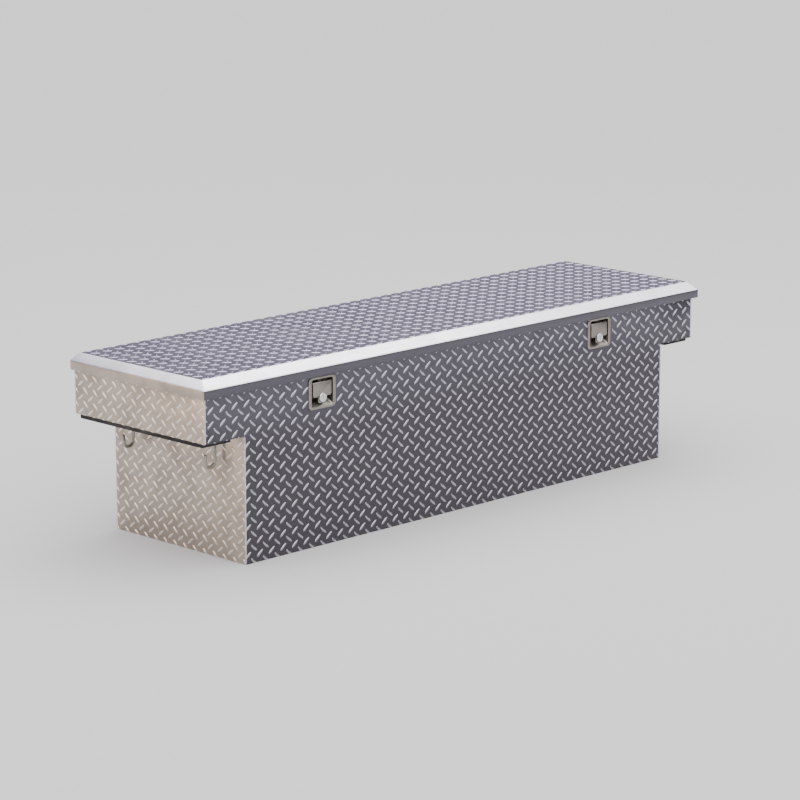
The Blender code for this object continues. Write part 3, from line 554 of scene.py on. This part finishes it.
def tread_field(name, finish, body, origin, right, up, patches, phase, skip=None, pitch=None):
    """Raised lugs over a flat face, all in one mesh.

    Lugs of one slant stand on a lattice of the two pitches, and lugs of the other slant stand half
    a pitch on both ways. right and up span the face, and their cross product points outwards. The
    face is the union of its patches. A lug that meets the face's edge is cut there. phase is the
    place of one lug of the first slant, and skip says which places hold none.
    """
    along, across = pitch or (sizes().pitch_along, sizes().pitch_across)
    template, faces = lug_template()
    right = np.array(right, float)
    up = np.array(up, float)
    out = np.cross(right, up)
    patches = np.array(patches, float)
    low = patches[:, (0, 2)].min(0) - EDGE_REACH
    high = patches[:, (1, 3)].max(0) + EDGE_REACH
    places = []
    for slant, shift in zip(LUG_SLANTS, (0.0, 0.5)):
        a = np.arange(low[0] + (phase[0] + shift * along - low[0]) % along, high[0], along)
        b = np.arange(low[1] + (phase[1] + shift * across - low[1]) % across, high[1], across)
        a, b = (g.ravel() for g in np.meshgrid(a, b, indexing="ij"))
        places.append(np.stack([a, b, np.full(a.shape, math.radians(slant))], -1))
    places = np.concatenate(places)
    inside = np.max([clearance(places[:, 0], places[:, 1], patch) for patch in patches], axis=0)
    wanted = inside > -EDGE_REACH
    if skip is not None:
        wanted &= ~skip(places[:, 0], places[:, 1])
    places = places[wanted]
    cos, sin = np.cos(places[:, 2, None]), np.sin(places[:, 2, None])
    a = places[:, 0, None] + template[:, 0] * cos - template[:, 1] * sin
    b = places[:, 1, None] + template[:, 0] * sin + template[:, 1] * cos
    inside = np.array([clearance(a, b, patch) for patch in patches])
    nearest = patches[inside.argmax(0)]
    inside = inside.max(0)
    a = np.clip(a, nearest[..., 0], nearest[..., 1])
    b = np.clip(b, nearest[..., 2], nearest[..., 3])
    height = (template[:, 2] + LUG_SINK) * np.clip(inside / EDGE_FADE, 0, 1) - LUG_SINK
    points = np.array(origin, float) + a[..., None] * right + b[..., None] * up + height[..., None] * out
    faces = (faces[None] + (np.arange(len(places)) * len(template))[:, None, None]).reshape(-1, 4)
    faces = faces[(inside.ravel()[faces] > 0.0).any(1)]
    used, faces = np.unique(faces, return_inverse=True)
    new_piece(
        name, points.reshape(-1, 3)[used], faces.reshape(-1, 4), finish, body,
    )


# ---------------------------------------------------------------- pieces

SHEET = 0.002  # thickness of the tread plate
BEVEL_RISE = 0.020
BEVEL_RUNS = (0.019, 0.019, 0.029, 0.020)  # left, right, front, back
PROFILE_RUN = 0.024  # the bevel's run in the profile, before each side scales it to its own
CORNER_RADIUS = 0.0028  # upright corners of the lid's flat top
LIP_EXTRA = 0.0050  # how much larger the corner's radius is at the lip


def bend_lid(finish):
    """Closed folded sheet: a profile of (inset, height) carried round a rectangle, each side
    scaling the inset to its own bevel, eased at the folds, outside and inside."""
    low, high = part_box("lid_skin")
    top = high[2]
    fold = sizes().fold_radius
    edge = sizes().edge_break
    run = PROFILE_RUN
    outer = eased([(0.0, low[2]), (0.0, top - BEVEL_RISE), (run, top), (run * 1.5, top)], fold)
    inner = eased([
        (run * 1.5, top - SHEET), (run + 0.0009, top - SHEET),
        (SHEET, top - BEVEL_RISE - 0.0012), (SHEET, low[2]),
    ], fold * 0.6)
    rim = np.array([(SHEET - edge, low[2]), (edge, low[2])])
    outer[0, 1] += edge
    inner[-1, 1] += edge
    loops = []
    for inset, z in np.concatenate([outer[::-1], rim[::-1], inner[::-1]]):
        share = inset / run
        left, right, front, back = (share * r for r in BEVEL_RUNS)
        corner = LIP_EXTRA * max(0.0, 1 - share) + CORNER_RADIUS
        x, y = rounded_loop(low[0] + left, high[0] - right, low[1] + front, high[1] - back, corner)
        loops.append(np.stack([x, y, np.full_like(x, z)], -1))
    points, faces = closed_rings(loops)
    piece = new_piece(
        "lid_sheet", points, faces, finish["lid"], "lid", ["lid_skin"],
        outward=True,
    )
    for name in ("lip", "end", "bevel"):
        piece.data.materials.append(finish[name])
    polygons = piece.data.polygons
    centres = np.empty(len(polygons) * 3)
    normals = np.empty(len(polygons) * 3)
    polygons.foreach_get("center", centres)
    polygons.foreach_get("normal", normals)
    centres, normals = centres.reshape(-1, 3), normals.reshape(-1, 3)
    # Lip faces that look to the front or back take the darker plate colour, painted shade; those that look
    # to the ends take the end colour
    on_lip = centres[:, 2] < top - BEVEL_RISE - 0.0006
    on_end = on_lip & (np.abs(normals[:, 0]) > np.abs(normals[:, 1]))
    on_bevel = ~on_lip & (normals[:, 2] > 0.05) & (normals[:, 2] < 0.985)
    chosen = np.select([on_end, on_lip, on_bevel], [2, 1, 3], 0)
    polygons.foreach_set("material_index", chosen.astype(np.int32))


class TOOLBOX_OT_lid(bpy.types.Operator):
    """Folded lid with its bevelled rim, and the tread lugs on its flat top"""
    bl_idname = "tool_box.lid"
    bl_label = "Lid"

    def execute(self, context):
        finish = finishes()
        bend_lid(finish)
        low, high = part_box("lid_skin")
        left, right, front, back = BEVEL_RUNS
        flat = (low[0] + left, high[0] - right, low[1] + front, high[1] - back)
        tread_field(
            "lid_tread", finish["lug"], "lid", (0, 0, high[2]), (1, 0, 0), (0, 1, 0), [flat], (0.0, 0.0),
        )
        return {"FINISHED"}


TUB_HALF = 0.760  # half the tub's length below the rails
SHEET_LATTICE = (-0.8676, 0.395)  # along and up: one lug of the front and back sheets
END_LATTICE = (-0.2172, 0.395)  # along and up: one lug of the end sheets
END_PITCH = 0.0362  # tread pitch along the end sheets
LATCH_MARGIN = 0.003  # plain band left round each latch
LEAF_LAP = 0.006  # how far the lugs run up behind the hinge leaf
WELD_STEP = 0.0006
WELD_PUDDLE = 0.0024


class TOOLBOX_OT_walls(bpy.types.Operator):
    """Front, back, ends and floor of the chest, with their tread lugs and corner welds"""
    bl_idname = "tool_box.walls"
    bl_label = "Chest walls"

    def execute(self, context):
        finish = finishes()
        edge = sizes().edge_break
        sheets = (
            ("body_front", "front", (0, -1, 0)), ("body_back", "back", (0, 1, 0)),
            ("body_end_left", "end", (-1, 0, 0)), ("body_end_right", "end", (1, 0, 0)),
        )
        for node, name, outward in sheets:
            lined(softened(node, edge, finish[name]), finish["inside"], outward)
        softened("body_floor", edge, finish["inside"])
        front_low, front_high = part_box("body_front")
        back_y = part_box("body_back")[1][1]
        end_low, end_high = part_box("body_end_right")
        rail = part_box("rail_pad_left")[1][2]
        half, tub, top = front_high[0], TUB_HALF, front_high[2]
        dishes = [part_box(f"latch_dish_{word}") for word, _ in SIDES]
        leaf_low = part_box("hinge_leaf_body")[0][2]

        def on_latch(a, b):
            covered = np.zeros(a.shape, bool)
            for low, high in dishes:
                covered |= clearance(a, b, (low[0], high[0], low[2], high[2])) > -LATCH_MARGIN
            return covered

        lugs = finish["front_lug"]
        tread_field(
            "front_tread", lugs, "body", (0, front_low[1], 0), (1, 0, 0), (0, 0, 1),
            [(-half, half, rail, top), (-tub, tub, 0.0, top)], SHEET_LATTICE, on_latch,
        )
        covered = leaf_low + LEAF_LAP
        tread_field(
            "back_tread", lugs, "body", (0, back_y, 0), (-1, 0, 0), (0, 0, 1),
            [(-half, half, rail, covered), (-tub, tub, 0.0, covered)], SHEET_LATTICE,
        )
        depth = (end_low[1] - 0.0015, end_high[1] + 0.0015)
        for word, side in SIDES:
            reach = sorted(side * y for y in depth)
            for part, x, low, high in (("wing", half, rail, top), ("tub", tub, 0.0, rail - 0.004)):
                tread_field(
                    f"{part}_tread_{word}", finish["end_lug"], "body",
                    (side * x, 0, 0), (0, side, 0), (0, 0, 1),
                    [(*reach, low, high)], END_LATTICE, pitch=(END_PITCH, sizes().pitch_across),
                )
        for word, side in SIDES:
            self.welds(word, side, half, tub, rail, front_low[1], back_y, top)
        return {"FINISHED"}

    def welds(self, word, side, half, tub, rail, front, back, top):
        """Beads along the upright corners: the ring swells once a puddle as the puddles overlap."""
        radius = sizes().bead_radius
        beads = []
        for x, low, high in ((half, rail + 0.002, top - 0.004), (tub, 0.003, rail - 0.002)):
            for y in (front, back):
                inward = math.copysign(radius * 0.55, -y)
                z = np.arange(low, high, WELD_STEP)
                path = np.stack([
                    np.full_like(z, side * (x - radius * 0.55)), np.full_like(z, y + inward), z,
                ], -1)
                ripple = 1 + 0.10 * np.sin(2 * math.pi * z / WELD_PUDDLE)
                ripple[[0, -1]] = 0.35
                beads.append(closed_rings(carried(path, radius, 10, ripple, (1, 0, 0))))
        points, faces = joined(beads)
        new_piece(
            f"corner_welds_{word}", points, faces, finishes()["weld"], "body",
            outward=True,
        )


class TOOLBOX_OT_latches(bpy.types.Operator):
    """Paddle latches: dishes, paddles, key cylinders and the works behind them"""
    bl_idname = "tool_box.latches"
    bl_label = "Latches"

    def execute(self, context):
        finish = finishes()
        inset = 0.0052
        radius = 0.0022
        for word, _ in SIDES:
            softened(f"latch_dish_{word}", 0.0006, finish["stainless"], 3)
            softened(f"latch_paddle_{word}", 0.0006, finish["stainless"], 3)
            softened(f"lock_cylinder_{word}", 0.0004, finish["chrome"])
            for node in ("latch_housing", "latch_claw", "latch_pawl"):
                softened(f"{node}_{word}", 0.0004, finish["zinc"])
            for node in ("claw_pivot", "pawl_pivot"):
                repaint(f"{node}_{word}", finish["zinc"])
            repaint(f"latch_pin_{word}", finish["stainless"])
            softened(f"striker_{word}", 0.0004, finish["stainless"], angle=50)
            low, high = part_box(f"latch_dish_{word}")
            heads = [(x, low[1], z, radius)
                     for x in (low[0] + inset, high[0] - inset) for z in (low[2] + inset, high[2] - inset)]
            rivets(f"latch_rivets_{word}", heads, (0, -1, 0), finish["stainless"], "body")
        return {"FINISHED"}


def repaint(node, finish):
    """Gives a kept CAD node its finish."""
    made = frame["nodes"][node]
    made.data.materials.clear()
    made.data.materials.append(finish)


def rivets(name, heads, outward, finish, body):
    """Domed rivet heads in one mesh. A head is (x, y, z, radius). radial and height give its half
    section as shares of that radius: a rim sunk a little in the sheet, then a low dome."""
    outward = np.array(outward, float)
    side = np.cross(outward, (0.0, 0.0, 1.0) if abs(outward[2]) < 0.9 else (1.0, 0.0, 0.0))
    other = np.cross(outward, side)
    ring = np.linspace(0, 2 * math.pi, 14, endpoint=False)
    radial = np.array([1.0, 1.0, 0.90, 0.70, 0.42, 0.12])
    height = np.array([-0.15, 0.10, 0.26, 0.40, 0.48, 0.52])
    spoke = side[None, :] * np.cos(ring)[:, None] + other[None, :] * np.sin(ring)[:, None]
    domes = []
    for x, y, z, radius in heads:
        centre = np.array([x, y, z], float)
        domes.append(closed_rings(
            [centre + spoke * r * radius + outward * h * radius for r, h in zip(radial, height)],
        ))
    points, faces = joined(domes)
    new_piece(name, points, faces, finish, body, outward=True)


LEAF_STAND_OFF = 0.0018  # how far the hinge rivets stand out from the sheet under the leaf
LOW_ROW = 0.3985  # height of the rivets in the box's leaf
HIGH_ROW = 0.4385  # height of the rivets in the lid's leaf
ROW_HALF = 0.845
ROW_RIVETS = 24


class TOOLBOX_OT_hinge(bpy.types.Operator):
    """Piano hinge with its rows of rivets"""
    bl_idname = "tool_box.hinge"
    bl_label = "Hinge"

    def execute(self, context):
        finish = finishes()
        for node in ("hinge_leaf_body", "hinge_leaf_lid"):
            softened(node, 0.0003, finish["hinge"], angle=40)
        repaint("hinge_pin", finish["hinge"])
        radius = sizes().rivet_radius
        places = np.linspace(-ROW_HALF, ROW_HALF, ROW_RIVETS)
        between = (places + 0.5 * (places[1] - places[0]))[:-1]
        body_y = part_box("body_back")[1][1] + LEAF_STAND_OFF
        lid_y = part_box("lid_skin")[1][1] + LEAF_STAND_OFF
        low = [(x, body_y, LOW_ROW, radius) for x in places]
        high = [(x, lid_y, HIGH_ROW, radius) for x in between]
        rivets("hinge_rivets_body", low, (0, 1, 0), finish["rivet"], "body")
        rivets("hinge_rivets_lid", high, (0, 1, 0), finish["rivet"], "lid")
        return {"FINISHED"}


class TOOLBOX_OT_lid_inside(bpy.types.Operator):
    """Liner, stiffeners and their rivets under the lid"""
    bl_idname = "tool_box.lid_inside"
    bl_label = "Lid inside"

    def execute(self, context):
        finish = finishes()
        softened("lid_liner", 0.0008, finish["inside"])
        radius = sizes().rivet_radius * 0.8
        inset = 0.006
        drop = 0.0014
        places = np.linspace(-0.77, 0.77, 15)
        for word in ("front", "back"):
            node = f"lid_stiffener_{word}"
            softened(node, 0.0005, finish["inside"])
            low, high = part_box(node)
            rows = (low[1] + inset, high[1] - inset)
            heads = [(x, y, high[2] - drop, radius) for x in places for y in rows]
            rivets(f"stiffener_rivets_{word}", heads, (0, 0, -1), finish["rivet"], "lid")
        return {"FINISHED"}


class TOOLBOX_OT_seal(bpy.types.Operator):
    """Bulb weatherstrip: base strip and round bulb on the chest's top flanges"""
    bl_idname = "tool_box.seal"
    bl_label = "Seal"

    def execute(self, context):
        low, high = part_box("body_seal")
        rise = high[2] - low[2]
        width = 0.009
        base = 0.0022
        bulb = 0.0045
        corner = 0.0165
        angle = np.linspace(-0.18 * math.pi, 1.18 * math.pi, 15)
        profile = [(0.0, 0.0), (0.0, base)]
        profile += [
            (width / 2 - bulb * math.cos(a) * 0.98, rise - bulb + bulb * math.sin(a)) for a in angle
        ]
        profile += [(width, base), (width, 0.0)]
        loops = []
        for inset, z in profile:
            x, y = rounded_loop(
                low[0] + inset, high[0] - inset, low[1] + inset, high[1] - inset, corner - inset, 8,
            )
            loops.append(np.stack([x, y, np.full_like(x, low[2] + z)], -1))
        points, faces = closed_rings(loops, ring=True)
        new_piece(
            "weatherstrip", points, faces, finishes()["rubber"], "body", ["body_seal"],
            outward=True,
        )
        return {"FINISHED"}


TRAY_WALL = 0.0142  # how far a divider stops short of the tray's outer edge
TRAY_BASE = 0.0027  # a divider's foot above the tray's underside
DIVIDER_SHARES = (0.34, 0.67)
DIVIDER_HEIGHT = 0.046
DIVIDER_FOOT = 0.0022  # half thickness at the foot
DIVIDER_HEAD = 0.0012  # half thickness at the head


class TOOLBOX_OT_tray(bpy.types.Operator):
    """Sliding tray with its dividers, and the ledges that it runs on"""
    bl_idname = "tool_box.tray"
    bl_label = "Tray"

    def execute(self, context):
        finish = finishes()
        softened("tray", 0.0012, finish["plastic"], 3, 20)
        for word in ("front", "back"):
            softened(f"tray_ledge_{word}", 0.0004, finish["inside"])
        low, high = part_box("tray")
        for index, share in enumerate(DIVIDER_SHARES):
            self.divider(index, low, high, low[0] + (high[0] - low[0]) * share)
        return {"FINISHED"}

    def divider(self, index, low, high, x):
        """Upright web across the tray, thinner towards its head, which is a half circle."""
        t = np.linspace(0, 1, 7)
        cap = np.linspace(0, math.pi, 7)
        half = DIVIDER_FOOT + (DIVIDER_HEAD - DIVIDER_FOOT) * t
        left = np.stack([-half, t * DIVIDER_HEIGHT], -1)
        arc = np.stack([-DIVIDER_HEAD * np.cos(cap), DIVIDER_HEIGHT + DIVIDER_HEAD * np.sin(cap)], -1)
        right = np.stack([half[::-1], t[::-1] * DIVIDER_HEIGHT], -1)
        outline = np.concatenate([left, arc, right])
        loops = []
        for y in np.linspace(low[1] + TRAY_WALL, high[1] - TRAY_WALL, 9):
            loops.append(np.stack([
                x + outline[:, 0], np.full(len(outline), y), low[2] + TRAY_BASE + outline[:, 1],
            ], -1))
        points, faces = closed_rings(loops)
        new_piece(
            f"tray_divider_{index + 1}", points, faces, finishes()["plastic"], "tray",
            outward=True,
        )


class TOOLBOX_OT_struts(bpy.types.Operator):
    """Gas struts and their brackets"""
    bl_idname = "tool_box.struts"
    bl_label = "Gas struts"

    def execute(self, context):
        finish = finishes()
        for word, _ in SIDES:
            softened(f"strut_cylinder_{word}", 0.0004, finish["paint"], angle=40)
            softened(f"strut_rod_{word}", 0.0004, finish["chrome"], angle=40)
            softened(f"strut_bracket_body_{word}", 0.0005, finish["zinc"], angle=40)
            softened(f"strut_bracket_lid_{word}", 0.0005, finish["zinc"], angle=40)
        return {"FINISHED"}


HOOK_BEND = 0.013  # radius of a hook's bends, on its centre line
HOOK_TIP = 0.264  # height of a hook's tip
HOOK_TAPER = 0.001  # a hook is drawn in over this length at both ends
THREAD_PITCH = 0.00125
THREAD_ROOT = 0.00395
THREAD_DEPTH = 0.00045
THREAD_RUN_OUT = 0.0039  # radius of the sleeve's first and last ring, inside the bar
THREAD_STEP = 0.00031


class TOOLBOX_OT_clamps(bpy.types.Operator):
    """Rail pads, drain plugs, and the hooks and nuts that clamp the box to the bed rails"""
    bl_idname = "tool_box.clamps"
    bl_label = "Rail clamps"

    def execute(self, context):
        finish = finishes()
        for word, side in SIDES:
            softened(f"rail_pad_{word}", 0.0010, finish["rubber"])
            softened(f"drain_plug_{word}", 0.0006, finish["rubber"])
            for place in ("front", "back"):
                softened(f"mount_nut_{word}_{place}", 0.0004, finish["zinc"])
                self.hook(word, side, place)
                self.thread(word, place)
        return {"FINISHED"}

    def hook(self, word, side, place):
        """Round bar bent to a J: a ring carried down the leg, round two quarter circles and up to
        the tip."""
        low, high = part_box(f"mount_hook_{word}_{place}")
        radius = (high[1] - low[1]) / 2
        leg, tip = (low[0] + radius, high[0] - radius)[::side]
        bend = HOOK_BEND
        floor = low[2] + radius
        turn = np.linspace(0, math.pi / 2, 12)
        middle = [(leg + side * bend * (1 - math.cos(t)), floor + bend * (1 - math.sin(t))) for t in turn]
        rise = [(tip - side * bend * (1 - math.sin(t)), floor + bend * (1 - math.cos(t))) for t in turn]
        first = [(leg, high[2]), (leg, high[2] - HOOK_TAPER)]
        last = [(tip, HOOK_TIP - HOOK_TAPER), (tip, HOOK_TIP)]
        flat = np.array(first + middle + rise + last)
        path = np.stack([flat[:, 0], np.full(len(flat), (low[1] + high[1]) / 2), flat[:, 1]], -1)
        draw = np.ones(len(path))
        draw[[0, -1]] = 0.75
        points, faces = closed_rings(carried(path, radius, 20, draw, (0, 1, 0)))
        new_piece(
            f"hook_bar_{word}_{place}", points, faces, finishes()["zinc"], "body",
            [f"mount_hook_{word}_{place}"], outward=True,
        )

    def thread(self, word, place):
        """Rolled thread on a hook's upper leg: a sleeve with a root radius and a crest that follows
        the cosine of the turn minus the height over the pitch."""
        low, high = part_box(f"mount_nut_{word}_{place}")
        hook_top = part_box(f"mount_hook_{word}_{place}")[1][2]
        centre = ((low[0] + high[0]) / 2, (low[1] + high[1]) / 2)
        bottom, top = high[2] + 0.0005, hook_top - 0.0006
        z = np.linspace(bottom, top, int((top - bottom) / THREAD_STEP))[:, None]
        turn = np.linspace(0, 2 * math.pi, 16, endpoint=False)[None, :]
        crest = 0.5 + 0.5 * np.cos(turn - 2 * math.pi * z / THREAD_PITCH)
        radius = THREAD_ROOT + THREAD_DEPTH * crest
        radius[[0, -1]] = THREAD_RUN_OUT
        loops = list(np.stack([
            centre[0] + radius * np.cos(turn), centre[1] + radius * np.sin(turn),
            np.broadcast_to(z, radius.shape),
        ], -1))
        points, faces = closed_rings(loops)
        new_piece(
            f"hook_thread_{word}_{place}", points, faces, finishes()["zinc"], "body",
            outward=True,
        )


# ---------------------------------------------------------------- stage

class TOOLBOX_OT_stage(bpy.types.Operator):
    """Pale floor, soft sky, side light and camera"""
    bl_idname = "tool_box.stage"
    bl_label = "Stage"

    def execute(self, context):
        self.floor()
        self.sky()
        self.lights()
        self.camera()
        return {"FINISHED"}

    def floor(self):
        made, tree = new_material("matt_studio_floor")
        shader = add(tree, "ShaderNodeBsdfPrincipled", {"Base Color": paint("floor"), "Roughness": 0.85,
                                                        "Specular IOR Level": 0.2})
        finish_material(tree, shader)
        reach = 14.0
        corners = [(-reach, -reach, 0), (reach, -reach, 0), (reach, reach, 0), (-reach, reach, 0)]
        mesh = bpy.data.meshes.new("studio_floor")
        mesh.from_pydata(corners, [], [(0, 1, 2, 3)])
        mesh.materials.append(made)
        floor = bpy.data.objects.new("studio_floor", mesh)
        bpy.context.scene.collection.objects.link(floor)

    def sky(self):
        """Soft dome: grey near the horizon, and a bright overcast above about 20 degrees towards
        the latch side and 32 degrees towards the hinge side."""
        world = bpy.data.worlds.new("studio_sky")
        bpy.context.scene.world = world
        world.use_nodes = True
        tree = world.node_tree
        tree.nodes.clear()
        direction = add(tree, "ShaderNodeTexCoord").outputs["Generated"]
        parts = add(tree, "ShaderNodeSeparateXYZ", {0: direction})
        height = add(
            tree, "ShaderNodeMath", {0: parts.outputs["Y"], 1: -0.20, 2: parts.outputs["Z"]},
            operation="MULTIPLY_ADD",
        ).outputs[0]
        rise = add(
            tree, "ShaderNodeMapRange", {"Value": height, "From Min": 0.36, "From Max": 0.54},
            interpolation_type="SMOOTHSTEP",
        ).outputs[0]
        colour = add(
            tree, "ShaderNodeMix",
            {"Factor": rise, 6: linear("#B8B2C6"), 7: linear("#FCFBFF")}, data_type="RGBA",
        )
        low = add(
            tree, "ShaderNodeMapRange", {"Value": height, "From Min": 0.0, "From Max": 0.12,
                                         "To Min": 1.2, "To Max": 0.45},
        )
        strength = add(
            tree, "ShaderNodeMath", {0: rise, 1: 3.0, 2: low.outputs[0]}, operation="MULTIPLY_ADD",
        )
        dome = add(
            tree, "ShaderNodeBackground", {"Color": colour.outputs[2], "Strength": strength.outputs[0]},
        )
        backdrop = add(tree, "ShaderNodeBackground", {"Color": linear("#E9E9E8"), "Strength": 1.35})
        seen = add(tree, "ShaderNodeLightPath").outputs["Is Camera Ray"]
        shader = add(tree, "ShaderNodeMixShader", {0: seen, 1: dome.outputs[0], 2: backdrop.outputs[0]})
        add(tree, "ShaderNodeOutputWorld", {"Surface": shader.outputs[0]})

    def lights(self):
        rows = (
            ("overhead_panel", (1.4, 0.4, 3.6), (0.0, 0.0, 0.4), 2.6, 60.0, "#FFFFFF"),
            ("warm_side_panel", (-3.6, 1.6, 0.9), (-0.8, 0.0, 0.35), 1.6, 22.0, "#FFE3C4"),
            ("front_panel", (-2.4, -4.2, 2.6), (0.0, 0.0, 0.3), 2.0, 30.0, "#F4F4FF"),
        )
        for name, place, target, size, power, hex_colour in rows:
            light = bpy.data.lights.new(name, "AREA")
            light.shape = "SQUARE"
            light.size = size
            light.energy = power
            light.color = linear(hex_colour)[:3]
            lamp = bpy.data.objects.new(name, light)
            lamp.location = place
            lamp.rotation_euler = (Vector(target) - Vector(place)).to_track_quat("-Z", "Y").to_euler()
            bpy.context.scene.collection.objects.link(lamp)

    def camera(self):
        """A long lens from the tailgate's left, a little above the lid."""
        camera = bpy.data.cameras.new("camera")
        camera.lens = 143.0
        camera.clip_end = 100.0
        seat = bpy.data.objects.new("camera", camera)
        seat.location = (-5.693, -5.668, 2.065)
        target = Vector((0.0, 0.0, 0.245))
        seat.rotation_euler = (target - seat.location).to_track_quat("-Z", "Y").to_euler()
        bpy.context.scene.collection.objects.link(seat)
        bpy.context.scene.camera = seat


# ---------------------------------------------------------------- add-on

PIECES = (
    TOOLBOX_OT_walls, TOOLBOX_OT_lid, TOOLBOX_OT_lid_inside, TOOLBOX_OT_latches, TOOLBOX_OT_hinge,
    TOOLBOX_OT_seal, TOOLBOX_OT_tray, TOOLBOX_OT_struts, TOOLBOX_OT_clamps, TOOLBOX_OT_stage,
)


class TOOLBOX_PT_panel(bpy.types.Panel):
    """Lists the tool box's sizes, colours and pieces"""
    bl_idname = "TOOLBOX_PT_panel"
    bl_label = "Tool Box"
    bl_space_type = "VIEW_3D"
    bl_region_type = "UI"
    bl_category = "Tool Box"

    def draw(self, context):
        for group in (context.scene.tool_box_sizes, context.scene.tool_box_colours):
            column = self.layout.column()
            for name in group.__annotations__:
                column.prop(group, name)
        for piece in PIECES:
            self.layout.operator(piece.bl_idname)


CLASSES = (ToolBoxSizes, ToolBoxColours, *PIECES, TOOLBOX_PT_panel)


def register():
    for made in CLASSES:
        bpy.utils.register_class(made)
    bpy.types.Scene.tool_box_sizes = PointerProperty(type=ToolBoxSizes)
    bpy.types.Scene.tool_box_colours = PointerProperty(type=ToolBoxColours)


def unregister():
    del bpy.types.Scene.tool_box_colours
    del bpy.types.Scene.tool_box_sizes
    for made in reversed(CLASSES):
        bpy.utils.unregister_class(made)


def main():
    register()
    for piece in PIECES:
        group, name = piece.bl_idname.split(".")
        getattr(getattr(bpy.ops, group), name)()


if __name__ == "__main__":
    main()
